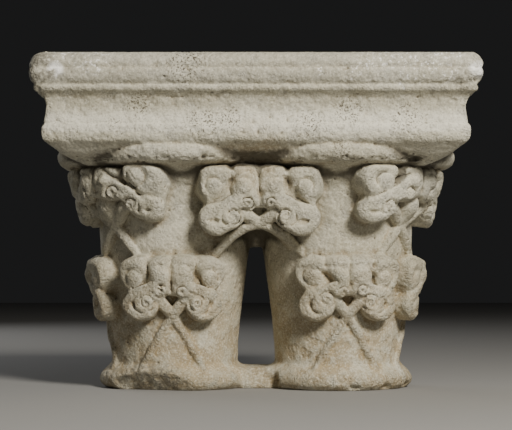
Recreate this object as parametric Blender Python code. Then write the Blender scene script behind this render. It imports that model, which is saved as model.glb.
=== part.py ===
"""Double capital: two crocket bells under one moulded abacus, carved from a single block of marble.

Metres, +Z up. The origin is the centre of the underside, X runs across the two bells, and the front faces -Y.
"""

import math

import bmesh
import bpy
from mathutils import Matrix, Vector

# The two bells, from the neck up to the underside of the lip
AXIS_SPACING = 0.160
NECK_RADIUS = 0.0615
BELL_HEIGHT = 0.191
WALL_FLARE = 0.020
WALL_CURVE = 1.3
RIM_FLARE = 0.024
RIM_CURVE = 18
BELL_SIDES = 72
# Shares of the bell's height at which its outline has a point: close together where it turns
WALL_STOPS = [0.02, 0.25, 0.45, 0.62, 0.77, 0.88, 0.94, 0.975, 1.0]

# The necking ring under each bell, and the strip of stone that joins the two rings
RING_HEIGHT = 0.0245
RING_PROJECTION = 0.012
RING_UNDERCUT = 0.0065
# (share of its projection, share of its height) along a ring's rounded face, from low to high
RING_OUTLINE = [(0.88, 0.16), (1.0, 0.34), (0.75, 0.62), (0.28, 0.90)]
BRIDGE_WIDTH = 0.062
BRIDGE_HEIGHT = 0.020

# The lip that ends each bell
LIP_HEIGHT = 0.0165
LIP_PROJECTION = 0.0125
LIP_ROUND = 0.010

# The abacus, which just clears the lips below its roll
LIP_MARGIN = 0.0005
ABACUS_CORNER = 0.007
BEVEL_DROP = 0.016
BEVEL_WIDTH = 0.032
ROLL_HEIGHT = 0.0195
ROLL_PROJECTION = 0.004
ROLL_TUCK = 0.0072
HOLLOW_HEIGHT = 0.0285
FILLET_HEIGHT = 0.005
FASCIA_HEIGHT = 0.031
FASCIA_PROJECTION = 0.011
FASCIA_SLOPE_HEIGHT = 0.012
FILLET_SETBACK = 0.006
ARRIS_ROUND = 0.006

# The stone between the bells above the gap: a vault that rises to the front and back and falls to the sides
WEB_BASE = 0.139
WEB_RISE = 0.013
WEB_FALL = 0.016
WEB_WIDTH = 0.076
WEB_DEPTH = 0.160
WEB_SIDE_DEPTH = 0.116

# The lower leaves: on the front, back and outer side of each bell
LOWER_LEAF_TOP = 0.127
LOWER_LEAF_HEIGHT = 0.062
LOWER_LEAF_HALF_WIDTH = 0.050
LOWER_LEAF_PROJECTION = 0.019
LOWER_STEM_SPREAD = 0.040
RIGHT_LEAF_TURN = 5

# The upper leaves: at each outer corner, and one wide leaf across both bells at the front and the back
UPPER_LEAF_DROP = 0.003
UPPER_LEAF_HEIGHT = 0.058
UPPER_LEAF_HALF_WIDTH = 0.058
UPPER_LEAF_PROJECTION = 0.026
CORNER_ANGLE = 46
MIDDLE_LEAF_HEIGHT = 0.069
MIDDLE_LEAF_HALF_WIDTH = 0.061
MIDDLE_LEAF_SEAT = 0.076
UPPER_STEM_SPREAD = 0.027
UPPER_STEM_LENGTH = 0.022
MIDDLE_STEM_SPREAD = 0.036

STEM_RADIUS = 0.0055
STEM_SIDES = 6
KNOB_RADIUS = 0.0075

# The losses: the broken ring at the front left, and the two worn upper corners of the abacus
RING_BREAK_ANGLE = 16
RING_BREAK_WIDTH = 0.170
RING_BREAK_DEPTH = 0.0125
RING_BREAK_LEVEL = 0.005
RING_BREAK_HEIGHT = 0.040
RING_BREAK_ROUND = 0.035
LEFT_CORNER_LOSS = 0.011
RIGHT_CORNER_LOSS = 0.008
CORNER_CUTTER = 0.060

MARBLE = (0.66, 0.62, 0.53, 1.0)
MARBLE_ROUGHNESS = 0.75

AXIS_X = AXIS_SPACING / 2
LIP_BASE = RING_HEIGHT + BELL_HEIGHT
LIP_TOP = LIP_BASE + LIP_HEIGHT
LIP_RADIUS = NECK_RADIUS + WALL_FLARE + RIM_FLARE + LIP_PROJECTION
ABACUS_TOP = LIP_TOP + ROLL_HEIGHT + HOLLOW_HEIGHT + FILLET_HEIGHT + FASCIA_HEIGHT
ROLL_HALF_WIDTH = AXIS_X + LIP_RADIUS + LIP_MARGIN
ROLL_HALF_DEPTH = LIP_RADIUS + LIP_MARGIN
HALF_WIDTH = ROLL_HALF_WIDTH + FASCIA_PROJECTION
HALF_DEPTH = ROLL_HALF_DEPTH + FASCIA_PROJECTION
UPPER_LEAF_TOP = LIP_BASE - UPPER_LEAF_DROP

# One half of a leaf: where its swellings are, as shares of the leaf's half width sideways from the midrib,
# of its height down from the top and of its projection out from the bell, then their three radii likewise
HALF_LEAF = {
    "upper pad": (0.55, 0.34, 0.10, 0.46, 0.36, 0.52),
    "lower pad": (0.52, 0.74, 0.05, 0.38, 0.27, 0.50),
    "inner lobe": (0.20, 0.24, 0.38, 0.21, 0.25, 0.62),
    "top rim": (0.52, 0.14, 0.40, 0.27, 0.13, 0.45),
    "outer rim": (0.88, 0.31, 0.25, 0.14, 0.27, 0.55),
    "boss": (0.74, 0.35, 0.55, 0.16, 0.15, 0.45),
    "inner curl": (0.20, 0.54, 0.50, 0.12, 0.12, 0.45),
    "band start": (0.38, 0.50, 0.35, 0.15, 0.13, 0.50),
    "band end": (0.64, 0.58, 0.35, 0.18, 0.11, 0.48),
    "volute": (0.60, 0.78, 0.30, 0.30, 0.23, 0.58),
    "volute eye": (0.49, 0.71, 0.60, 0.14, 0.13, 0.42),
}
LEAF_CORE = (0.0, 0.30, 0.05, 0.40, 0.31, 0.50)
LEAF_HEEL = (0.0, 0.76, -0.10, 0.34, 0.30, 0.42)
KNOB_DROP = 0.94
ARM_END = (0.36, 0.66)
ARM_LIFT = 0.45

# The carving is fused and worn smooth at this grain, then thinned to a number of faces
CARVING_GRAIN = 0.0018
WEAR_PASSES = 3
CARVING_FACES = 9000
FOOT_ALLOWANCE = 0.006


def bell_radius(z):
    """Radius of a bell's wall at height z: a slow flare, then a quick one under the lip."""
    share = min(1.0, max(0.0, (z - RING_HEIGHT) / BELL_HEIGHT))
    return NECK_RADIUS + WALL_FLARE * share**WALL_CURVE + RIM_FLARE * share**RIM_CURVE


def bell_profile():
    """(radius, height) of one bell from its underside to inside the abacus, with its ring and its lip."""
    ring = NECK_RADIUS + RING_PROJECTION
    points = [(ring - RING_UNDERCUT, -FOOT_ALLOWANCE), (ring - RING_UNDERCUT, 0.0)]
    points += [(NECK_RADIUS + out * RING_PROJECTION, up * RING_HEIGHT) for out, up in RING_OUTLINE]
    points += [(bell_radius(z), z) for z in (RING_HEIGHT + share * BELL_HEIGHT for share in WALL_STOPS)]
    for angle in (25, 60, 90):
        out = LIP_PROJECTION * math.sin(math.radians(angle))
        up = LIP_ROUND * (1 - math.cos(math.radians(angle)))
        points.append((LIP_RADIUS - LIP_PROJECTION + out, LIP_BASE + up))
    points.append((LIP_RADIUS, LIP_TOP))
    points.append((LIP_RADIUS - LIP_PROJECTION, LIP_TOP + ROLL_HEIGHT / 2))
    return points


def abacus_profile():
    """(inset from the widest face, height) of the abacus, from its underside up."""
    roll_inset = FASCIA_PROJECTION
    hollow_inset = roll_inset + ROLL_PROJECTION
    roll_middle = LIP_TOP + 0.6 * ROLL_HEIGHT
    hollow_middle = LIP_TOP + ROLL_HEIGHT + 0.46 * HOLLOW_HEIGHT
    hollow_top = LIP_TOP + ROLL_HEIGHT + HOLLOW_HEIGHT
    fascia_base = hollow_top + FILLET_HEIGHT
    points = [
        (roll_inset + ROLL_TUCK + BEVEL_WIDTH, LIP_TOP - BEVEL_DROP),
        (roll_inset + ROLL_TUCK, LIP_TOP),
        (roll_inset + ROLL_TUCK / 3, LIP_TOP + 0.2 * ROLL_HEIGHT),
    ]
    for step in range(5):
        share = step / 4
        inset = roll_inset + ROLL_PROJECTION * (1 - math.cos(math.pi * share)) / 2
        points.append((inset, roll_middle + share * (hollow_middle - roll_middle)))
    for angle in (30, 60, 85):
        turn = math.radians(angle)
        inset = FILLET_SETBACK + (hollow_inset - FILLET_SETBACK) * math.cos(turn)
        points.append((inset, hollow_middle + (hollow_top - hollow_middle) * math.sin(turn)))
    points += [(FILLET_SETBACK, hollow_top + 0.1 * FILLET_HEIGHT), (0.7 * FILLET_SETBACK, fascia_base)]
    points.append((0.8 * FILLET_SETBACK, fascia_base + 0.3 * FILLET_HEIGHT))
    points.append((0.0, fascia_base + FASCIA_SLOPE_HEIGHT))
    points += [(0.0, ABACUS_TOP - ARRIS_ROUND), (0.3 * ARRIS_ROUND, ABACUS_TOP - 0.3 * ARRIS_ROUND)]
    points.append((ARRIS_ROUND, ABACUS_TOP))
    return points


def add_object(name, mesh_builder):
    """A closed mesh object of that name, with the faces turned outwards."""
    mesh = bpy.data.meshes.new(name)
    mesh_builder.normal_update()
    bmesh.ops.recalc_face_normals(mesh_builder, faces=mesh_builder.faces)
    mesh_builder.to_mesh(mesh)
    mesh_builder.free()
    made = bpy.data.objects.new(name, mesh)
    bpy.context.scene.collection.objects.link(made)
    return made


def join_loops(mesh_builder, loops):
    """Skins a stack of equal loops of vertices and caps both ends."""
    count = len(loops[0])
    for lower, upper in zip(loops, loops[1:]):
        for i in range(count):
            j = (i + 1) % count
            mesh_builder.faces.new((lower[i], lower[j], upper[j], upper[i]))
    mesh_builder.faces.new(reversed(loops[0]))
    mesh_builder.faces.new(loops[-1])


def make_bell(name, side):
    """One bell, turned about its own axis."""
    builder = bmesh.new()
    loops = []
    for radius, height in bell_profile():
        turns = [2 * math.pi * i / BELL_SIDES for i in range(BELL_SIDES)]
        ring = [(side * AXIS_X + radius * math.cos(t), radius * math.sin(t), height) for t in turns]
        loops.append([builder.verts.new(point) for point in ring])
    join_loops(builder, loops)
    return add_object(name, builder)


def rounded_rectangle(half_x, half_y, radius, steps=3):
    """Corners of a rectangle with rounded corners, anticlockwise."""
    points = []
    for quarter, (sx, sy) in enumerate([(1, 1), (-1, 1), (-1, -1), (1, -1)]):
        for step in range(steps + 1):
            turn = math.radians(90 * (quarter + step / steps))
            centre = (sx * (half_x - radius), sy * (half_y - radius))
            points.append((centre[0] + radius * math.cos(turn), centre[1] + radius * math.sin(turn)))
    return points


def make_abacus():
    """The moulded block on top of both bells."""
    builder = bmesh.new()
    loops = []
    for inset, height in abacus_profile():
        outline = rounded_rectangle(HALF_WIDTH - inset, HALF_DEPTH - inset, ABACUS_CORNER)
        loops.append([builder.verts.new((x, y, height)) for x, y in outline])
    join_loops(builder, loops)
    return add_object("abacus_block", builder)


def make_bridge():
    """The strip that joins the two rings."""
    builder = bmesh.new()
    height = BRIDGE_HEIGHT + FOOT_ALLOWANCE
    size = Matrix.Diagonal((AXIS_SPACING - NECK_RADIUS, BRIDGE_WIDTH, height, 1.0))
    middle = Matrix.Translation((0, 0, BRIDGE_HEIGHT - height / 2))
    bmesh.ops.create_cube(builder, size=1.0, matrix=middle @ size)
    return add_object("bridge_block", builder)


def swell(builder, place, radii, sides=16, rings=10):
    """Adds a rounded swelling with the three radii at a placed frame."""
    matrix = place @ Matrix.Diagonal((*radii, 1.0))
    bmesh.ops.create_uvsphere(builder, u_segments=sides, v_segments=rings, radius=1.0, matrix=matrix)


def make_web(steps=8):
    """The vaulted block between the two bells, deepest in the middle."""
    builder = bmesh.new()
    shares = [2 * i / steps - 1 for i in range(steps + 1)]
    loops = []
    for across in shares:
        reach = (WEB_DEPTH - (WEB_DEPTH - WEB_SIDE_DEPTH) * across**2) / 2
        below = [(deep * reach, WEB_BASE + WEB_RISE * deep**2 - WEB_FALL * across**2) for deep in shares]
        section = below + [(reach, LIP_BASE), (-reach, LIP_BASE)]
        loops.append([builder.verts.new((across * WEB_WIDTH / 2, y, z)) for y, z in section])
    join_loops(builder, loops)
    return add_object("web_block", builder)


def frame_at(origin, outward):
    """A frame at origin whose X runs sideways, Y up and Z outwards."""
    out = Vector(outward).normalized()
    up = Vector((0, 0, 1))
    side = up.cross(out)
    basis = Matrix((side, up, out)).transposed().to_4x4()
    basis.translation = Vector(origin)
    return basis


def bell_seat(side, angle):
    """Places a point of a leaf on a bell. The angle runs from the front towards the bell's outer side."""

    def place(sideways, height, out):
        reach = bell_radius(height) + out
        turn = math.radians(angle) + sideways / bell_radius(height)
        direction = (side * math.sin(turn), -math.cos(turn), 0)
        return frame_at((side * AXIS_X + reach * direction[0], reach * direction[1], height), direction)

    return place


def middle_seat(facing):
    """Places a point of the wide leaf between the bells. Facing is 1 at the front and -1 at the back."""

    def place(sideways, height, out):
        direction = (0, -facing, 0)
        return frame_at((facing * sideways, -facing * (MIDDLE_LEAF_SEAT + out), height), direction)

    return place


def make_tube(builder, frames, radius):
    """Adds a closed round bar through a row of frames, each with its Z across the bar."""
    centres = [frame.translation for frame in frames]
    loops = []
    for i, frame in enumerate(frames):
        along = (centres[min(i + 1, len(centres) - 1)] - centres[max(i - 1, 0)]).normalized()
        out = frame.col[2].to_3d()
        across = along.cross(out).normalized()
        turns = [2 * math.pi * k / STEM_SIDES for k in range(STEM_SIDES)]
        ring = [centres[i] + radius * (math.cos(t) * across + math.sin(t) * out) for t in turns]
        loops.append([builder.verts.new(point) for point in ring])
    join_loops(builder, loops)


def add_stem(builder, place, start, end, out, steps=5):
    """One stem from start to end, each (sideways, height), with its centre that far out from the bell."""
    frames = []
    for step in range(steps + 1):
        share = step / steps
        sideways = start[0] + share * (end[0] - start[0])
        height = start[1] + share * (end[1] - start[1])
        frames.append(place(sideways, height, out[0] + share * (out[1] - out[0])))
    make_tube(builder, frames, STEM_RADIUS)


def make_leaf(name, place, top, height, half_width, projection, foot_spread, foot_height, foot_out=0.0):
    """A leaf of two mirrored halves on crossing stems, which meet in a knob under it."""
    builder = bmesh.new()
    lobes = [(1, LEAF_CORE), (1, LEAF_HEEL)]
    lobes += [(side, lobe) for side in (-1, 1) for lobe in HALF_LEAF.values()]
    for side, (across, down, out, wide, tall, deep) in lobes:
        spot = place(side * across * half_width, top - down * height, out * projection)
        swell(builder, spot, (wide * half_width, tall * height, deep * projection))
    knob = (0, top - KNOB_DROP * height)
    knob_out = KNOB_RADIUS / 2
    for side in (-1, 1):
        arm_end = (side * ARM_END[0] * half_width, top - ARM_END[1] * height)
        add_stem(builder, place, (side * foot_spread, foot_height), knob, (foot_out, knob_out))
        add_stem(builder, place, knob, arm_end, (knob_out, ARM_LIFT * projection), 2)
    swell(builder, place(*knob, knob_out), (KNOB_RADIUS,) * 3)
    return add_object(name, builder)


def make_leaves():
    """All the leaves of both tiers."""
    lower = (LOWER_LEAF_TOP, LOWER_LEAF_HEIGHT, LOWER_LEAF_HALF_WIDTH, LOWER_LEAF_PROJECTION)
    upper = (UPPER_LEAF_TOP, UPPER_LEAF_HEIGHT, UPPER_LEAF_HALF_WIDTH, UPPER_LEAF_PROJECTION)
    middle = (UPPER_LEAF_TOP, MIDDLE_LEAF_HEIGHT, MIDDLE_LEAF_HALF_WIDTH, UPPER_LEAF_PROJECTION)
    lower_foot = (LOWER_STEM_SPREAD, RING_HEIGHT)
    foot_height = UPPER_LEAF_TOP - UPPER_LEAF_HEIGHT - UPPER_STEM_LENGTH
    upper_foot = (UPPER_STEM_SPREAD, foot_height)
    foot_depth = math.sqrt(bell_radius(foot_height) ** 2 - (AXIS_X - MIDDLE_STEM_SPREAD) ** 2)
    middle_foot = (MIDDLE_STEM_SPREAD, foot_height, foot_depth - MIDDLE_LEAF_SEAT)
    leaves = []
    for side_name, side in (("left", -1), ("right", 1)):
        front_turn = RIGHT_LEAF_TURN if side_name == "right" else 0
        for spot, angle in (("front", front_turn), ("outer", 90), ("back", 180)):
            seat = bell_seat(side, angle)
            leaves.append(make_leaf(f"lower_{spot}_leaf_{side_name}", seat, *lower, *lower_foot))
        for spot, angle in (("front", CORNER_ANGLE), ("back", 180 - CORNER_ANGLE)):
            seat = bell_seat(side, angle)
            leaves.append(make_leaf(f"corner_{spot}_leaf_{side_name}", seat, *upper, *upper_foot))
    for spot, facing in (("front", 1), ("back", -1)):
        leaves.append(make_leaf(f"middle_{spot}_leaf", middle_seat(facing), *middle, *middle_foot))
    return leaves


def fuse(name, blocks):
    """One carved body out of overlapping blocks, with its edges worn."""
    builder = bmesh.new()
    for block in blocks:
        builder.from_mesh(block.data)
        bpy.data.objects.remove(block)
    body = add_object(name, builder)
    remesh = body.modifiers.new("fused", "REMESH")
    remesh.mode = "VOXEL"
    remesh.voxel_size = CARVING_GRAIN
    remesh.use_smooth_shade = True
    worn = body.modifiers.new("worn", "SMOOTH")
    worn.factor = 0.5
    worn.iterations = WEAR_PASSES
    fused = body.evaluated_get(bpy.context.evaluated_depsgraph_get())
    quads = len(fused.data.polygons)
    fewer = body.modifiers.new("fewer faces", "DECIMATE")
    fewer.ratio = CARVING_FACES / (2 * quads)
    return body


def combine(target, tool, operation):
    """A live Boolean of the tool on the target. The tool stays in the scene as a hidden helper."""
    tool.hide_render = True
    tool.display_type = "WIRE"
    modifier = target.modifiers.new(f"{operation.lower()} {tool.name}", "BOOLEAN")
    modifier.operation = operation
    modifier.object = tool


def make_floor_cutter():
    """Trims both feet flat."""
    builder = bmesh.new()
    size = Matrix.Diagonal((2 * AXIS_SPACING + 4 * NECK_RADIUS, 4 * NECK_RADIUS, 4 * FOOT_ALLOWANCE, 1.0))
    bmesh.ops.create_cube(builder, size=1.0, matrix=Matrix.Translation((0, 0, -2 * FOOT_ALLOWANCE)) @ size)
    return add_object("floor_cutter", builder)


def make_ring_break():
    """The shallow break across the front of the left ring."""
    builder = bmesh.new()
    turn = math.radians(RING_BREAK_ANGLE)
    out = Vector((-math.sin(turn), -math.cos(turn), 0))
    reach = NECK_RADIUS + RING_PROJECTION - RING_BREAK_DEPTH + RING_BREAK_ROUND
    middle = frame_at(Vector((-AXIS_X, 0, RING_BREAK_LEVEL)) + reach * out, out)
    swell(builder, middle, (RING_BREAK_WIDTH / 2, RING_BREAK_HEIGHT / 2, RING_BREAK_ROUND), 20, 12)
    return add_object("ring_break_cutter", builder)


def make_corner_loss(side_name, side, loss):
    """Cuts the worn upper front corner off the abacus on one side. The loss is measured square to the cut."""
    builder = bmesh.new()
    out = Vector((1.3 * side, -1.0, 1.2)).normalized()
    corner = Vector((side * HALF_WIDTH, -HALF_DEPTH, ABACUS_TOP))
    cut = out.to_track_quat("Z", "Y").to_matrix().to_4x4()
    cut.translation = corner + (CORNER_CUTTER / 2 - loss) * out
    bmesh.ops.create_cube(builder, size=CORNER_CUTTER, matrix=cut)
    return add_object(f"corner_cutter_{side_name}", builder)


def make_marble():
    """Weathered off-white marble."""
    marble = bpy.data.materials.new("weathered_marble")
    marble.use_nodes = True
    shader = marble.node_tree.nodes["Principled BSDF"]
    shader.inputs["Base Color"].default_value = MARBLE
    shader.inputs["Roughness"].default_value = MARBLE_ROUGHNESS
    shader.inputs["Metallic"].default_value = 0.0
    return marble


def main():
    for old in list(bpy.data.objects):
        bpy.data.objects.remove(old)
    capital = make_abacus()
    capital.name = "double_capital"
    blocks = [make_bell("bell_left", -1), make_bell("bell_right", 1), make_bridge(), make_web()]
    combine(capital, fuse("carved_bells", blocks + make_leaves()), "UNION")
    combine(capital, make_floor_cutter(), "DIFFERENCE")
    combine(capital, make_ring_break(), "DIFFERENCE")
    combine(capital, make_corner_loss("left", -1, LEFT_CORNER_LOSS), "DIFFERENCE")
    combine(capital, make_corner_loss("right", 1, RIGHT_CORNER_LOSS), "DIFFERENCE")
    capital.data.materials.append(make_marble())


main()
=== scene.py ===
"""Looks of the double capital: the finely carved, weathered stone, a pale floor, soft light and the camera.

The carving is a distance field on a grid, in millimetres, which is negative inside the stone, with the same
sizes as the solid. It is turned into one closed mesh.
"""

import itertools
import math

import bpy
import numpy as np
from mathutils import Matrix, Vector


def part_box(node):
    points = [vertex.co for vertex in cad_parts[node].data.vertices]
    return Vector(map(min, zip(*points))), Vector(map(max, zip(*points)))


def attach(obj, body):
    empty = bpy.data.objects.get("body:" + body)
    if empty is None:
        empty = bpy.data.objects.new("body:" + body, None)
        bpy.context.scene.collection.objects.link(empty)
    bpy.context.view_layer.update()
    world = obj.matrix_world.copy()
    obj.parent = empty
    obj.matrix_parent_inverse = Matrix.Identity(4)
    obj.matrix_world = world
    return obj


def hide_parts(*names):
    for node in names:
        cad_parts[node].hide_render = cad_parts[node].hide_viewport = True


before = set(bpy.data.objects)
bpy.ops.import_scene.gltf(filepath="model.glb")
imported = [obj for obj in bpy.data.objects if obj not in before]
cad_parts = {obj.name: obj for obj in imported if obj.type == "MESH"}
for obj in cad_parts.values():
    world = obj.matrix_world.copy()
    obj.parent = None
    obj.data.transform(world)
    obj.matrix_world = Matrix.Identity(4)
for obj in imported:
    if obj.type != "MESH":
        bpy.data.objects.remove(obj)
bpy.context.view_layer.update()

MM = 0.001
NODE = "double_capital"
LOW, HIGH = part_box(NODE)
HALF_WIDTH = (HIGH[0] - LOW[0]) / 2 / MM
HALF_DEPTH = (HIGH[1] - LOW[1]) / 2 / MM
ABACUS_TOP = HIGH[2] / MM

# The camera, in metres, and its picture's width in pixels
CAMERA_DISTANCE = 1.5
CAMERA_HEIGHT = 0.1036
AIM_HEIGHT = 0.1706
IMAGE_WIDTH = 512
SENSOR_WIDTH = 36.0

# The grid's step, its margin, how its layers miss the underside and its value far off; and the triangles kept
GRID_STEP = 1.0
GRID_MARGIN = 4.0
GRID_OFFSET = 0.37
FAR_AWAY = 50.0
KEPT_TRIANGLES = 190000

# The two bells: how far their axes are from the middle, and where they end inside the abacus
AXIS_X = 80.0
BELL_TOP = 240.0
# (height, radius) of a bell from its underside to inside the abacus
BELL_OUTLINE = [
    (-6, 66.5), (0, 66.5), (2, 69.5), (5, 72.6), (8.5, 73.6), (12, 73.2), (16, 70.6), (20, 66.4),
    (23.5, 62.8), (26, 61.6), (44, 62.2), (69, 64.3), (91, 67), (121, 71), (134, 73), (160, 74.5),
    (180, 78), (195, 82), (207, 89), (213, 97), (215.5, 104.5), (217, 111), (220.5, 115.2), (225, 116.6),
    (228.5, 116.7), (231, 115.2), (232.5, 111), (233.2, 105), (240, 100),
]
# (height, inset from the widest face) of the abacus, from its underside to its top
ABACUS_OUTLINE = [
    (214, 52), (216, 46), (221, 34), (225.5, 25.8), (231, 18.8), (234, 14.2), (236, 12.2), (240, 11.3),
    (243.7, 11), (247, 11.2), (249.2, 11.6), (250.6, 14.2), (252.2, 13.2), (257, 14.2), (261, 14.9),
    (264.5, 15.2), (268, 15.2), (271, 14.6), (275, 13), (278, 10.4), (280, 7), (281, 4.9), (284.5, 4.4),
    (285.8, 6.2), (287.4, 4.6), (289.5, 2.2), (293, 0.7), (296.5, 0), (299.4, 0.2), (301.4, 2.1),
    (303.4, 0.3), (306, 0), (309, 0.6), (312, 2.4), (314.5, 5), (316, 8.5),
]
ABACUS_CORNER = 8.0
ABACUS_BASE = 215.0
# The strip of stone between the two rings
BRIDGE_HALF_WIDTH = 30.0
BRIDGE_HALF_DEPTH = 31.0
BRIDGE_TOP = 20.0
# The web between the bells: its underside's height at mid depth and at the front, how that falls sideways,
# the depths between which it rises from the one to the other, and the web's sizes
WEB_BASE = 139.5
WEB_FRONT = 157.0
WEB_FALL = (0.20, 0.0125)
WEB_STEP = (10.0, 30.0)
WEB_HALF_WIDTH = 38.0
WEB_HALF_DEPTH = 80.0
WEB_SIDE_SETBACK = 22.0
WEB_LOW, WEB_HIGH = (-50, -95, 110), (50, 95, 236)
# The wear: how deep below the new surface it leaves the stone, how near the surface it acts, and the pits
WEAR_ALLOWANCE = 0.5
WEAR_REACH = 3.2
PIT_COUNT = 500
PIT_RADII = (0.6, 1.4)


def smooth_min(a, b, blend):
    """Union of two fields, blended over that distance."""
    near = np.maximum(blend - np.abs(a - b), 0.0) / blend
    return np.minimum(a, b) - near * near * (blend / 4)


def smooth_max(a, b, blend):
    """Intersection of two fields, blended over that distance."""
    return -smooth_min(-a, -b, blend)


def step_between(low, high, value):
    """0 below low, 1 above high, smooth between."""
    share = np.clip((value - low) / (high - low), 0.0, 1.0)
    return share * share * (3 - 2 * share)


def ellipsoid(p, centre, radii):
    """Field of an ellipsoid. p holds the three coordinates."""
    q = [(p[i] - centre[i]) / radii[i] for i in range(3)]
    far = np.sqrt(q[0] ** 2 + q[1] ** 2 + q[2] ** 2) + 1e-6
    steep = np.sqrt(sum((q[i] / radii[i]) ** 2 for i in range(3))) + 1e-6
    return far * (far - 1.0) / steep


def capsule(p, start, end, start_radius, end_radius):
    """Field of a round bar that tapers from start to end."""
    along = [end[i] - start[i] for i in range(3)]
    length2 = sum(a * a for a in along)
    share = np.clip(sum((p[i] - start[i]) * along[i] for i in range(3)) / length2, 0.0, 1.0)
    gap2 = sum((p[i] - start[i] - share * along[i]) ** 2 for i in range(3))
    return np.sqrt(gap2) - (start_radius + share * (end_radius - start_radius))


def flat_distance(s, t, start, end):
    """Distance in the plane of a leaf from a straight line between two points."""
    run, drop = end[0] - start[0], end[1] - start[1]
    share = np.clip(((s - start[0]) * run + (t - start[1]) * drop) / (run * run + drop * drop), 0.0, 1.0)
    return np.hypot(s - start[0] - share * run, t - start[1] - share * drop)


class Noise:
    """Smooth random values on a lattice, repeatable for a seed."""

    SIZE = 32

    def __init__(self, seed):
        self.table = np.random.default_rng(seed).uniform(-1, 1, (self.SIZE,) * 3).astype(np.float32)

    def at(self, x, y, z, wavelength):
        """Value from -1 to 1 at a point, which varies over about that wavelength."""
        lows, shares = [], []
        for value in (x, y, z):
            scaled = np.asarray(value, np.float32) / wavelength
            low = np.floor(scaled)
            share = scaled - low
            shares.append(share * share * (3 - 2 * share))
            lows.append(low.astype(np.int32) % self.SIZE)
        total = 0.0
        for offsets in itertools.product((0, 1), repeat=3):
            weight = 1.0
            corner = []
            for offset, low, share in zip(offsets, lows, shares):
                weight = weight * (share if offset else 1 - share)
                corner.append((low + offset) % self.SIZE)
            total = total + weight * self.table[tuple(corner)]
        return total


class Field:
    """The stone's distance field on a regular grid."""

    def __init__(self):
        self.x, self.y = [
            np.arange(-reach - GRID_MARGIN, reach + GRID_MARGIN + GRID_STEP, GRID_STEP, np.float32)
            for reach in (HALF_WIDTH, HALF_DEPTH)]
        first = -GRID_MARGIN + GRID_OFFSET * GRID_STEP
        self.z = np.arange(first, ABACUS_TOP + GRID_MARGIN, GRID_STEP, np.float32)
        self.d = np.full((len(self.x), len(self.y), len(self.z)), FAR_AWAY, np.float32)

    def window(self, low, high):
        """The part of the grid in a box: its values, and its coordinates ready to combine."""
        parts = []
        for axis, a, b in zip((self.x, self.y, self.z), low, high):
            parts.append(slice(int(np.searchsorted(axis, a)), int(np.searchsorted(axis, b))))
        values = self.d[tuple(parts)]
        x = self.x[parts[0]][:, None, None]
        y = self.y[parts[1]][None, :, None]
        z = self.z[parts[2]][None, None, :]
        return values, x, y, z

    def add(self, low, high, shape, blend):
        """Adds a shape, a function of x, y and z, inside a box."""
        values, x, y, z = self.window(low, high)
        values[...] = smooth_min(values, shape(x, y, z), blend)

    def cut(self, low, high, shape, blend):
        """Cuts a shape out inside a box."""
        values, x, y, z = self.window(low, high)
        values[...] = smooth_max(values, -shape(x, y, z), blend)


def outline_field(z, outline):
    """(value, slope share) at each height of an outline of (height, value) points, a little rounded."""
    heights, values = zip(*outline)
    fine = np.arange(heights[0], heights[-1], 0.25)
    line = np.interp(fine, heights, values)
    line = np.convolve(np.pad(line, 3, mode="edge"), np.ones(7) / 7, mode="valid")
    slope = np.gradient(line, fine)
    value = np.interp(z, fine, line)
    share = 1 / np.sqrt(1 + np.interp(z, fine, slope) ** 2)
    return value.astype(np.float32), share.astype(np.float32)


def bell_radius(z):
    """Radius of the bell's outline at height z."""
    return outline_field(z, BELL_OUTLINE)[0]


def add_bells(field, x, y, z):
    """The two bells, each with its ring and its lip, a little out of round."""
    radius, slope = outline_field(z, BELL_OUTLINE)
    for side in (-1, 1):
        away = np.hypot(x - side * AXIS_X, y)
        turn = np.arctan2(y, x - side * AXIS_X)
        uneven = 0.5 * np.sin(3 * turn + side) + 0.35 * np.sin(5 * turn + 2 * side)
        bell = (away - uneven.astype(np.float32) - radius) * slope
        field.d[...] = smooth_min(field.d, np.maximum(bell, z - BELL_TOP), 1.5)


def bridge(x, y, z):
    """The strip between the rings."""
    depth = np.abs(y) - BRIDGE_HALF_DEPTH
    return smooth_max(smooth_max(depth, z - BRIDGE_TOP, 5.0), np.abs(x) - BRIDGE_HALF_WIDTH, 2.0)


def web(x, y, z):
    """The stone between the bells, over an arched gap."""
    across = np.minimum(np.abs(x) / WEB_HALF_WIDTH, 1.2)
    share = step_between(*WEB_STEP, np.abs(y))
    arch = WEB_FRONT - WEB_FALL[0] * np.abs(x) - WEB_FALL[1] * x**2
    ceiling = WEB_BASE + (arch - WEB_BASE) * share
    front = np.abs(y) - (WEB_HALF_DEPTH - WEB_SIDE_SETBACK * across**2)
    side = np.abs(x) - WEB_HALF_WIDTH - 4.0
    return smooth_max(smooth_max((ceiling - z) * 0.8, front, 3.0), side, 2.0)


def add_abacus(field, x, y, z):
    """The moulded slab on top, with its corners rounded in plan."""
    inset, share = outline_field(z, ABACUS_OUTLINE)
    part = slice(int(np.searchsorted(field.z, ABACUS_BASE - 3.0)), None)
    inset, share, z = inset[..., part], share[..., part], z[..., part]
    over_x = np.abs(x) - (HALF_WIDTH - ABACUS_CORNER)
    over_y = np.abs(y) - (HALF_DEPTH - ABACUS_CORNER)
    outside = np.hypot(np.maximum(over_x, 0), np.maximum(over_y, 0)) - ABACUS_CORNER
    plan = outside + np.minimum(np.maximum(over_x, over_y), 0)
    abacus = (plan + inset) * share
    abacus = np.maximum(np.maximum(abacus, z - ABACUS_TOP), ABACUS_BASE - z)
    field.d[..., part] = smooth_min(field.d[..., part], abacus, 1.5)


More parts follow.
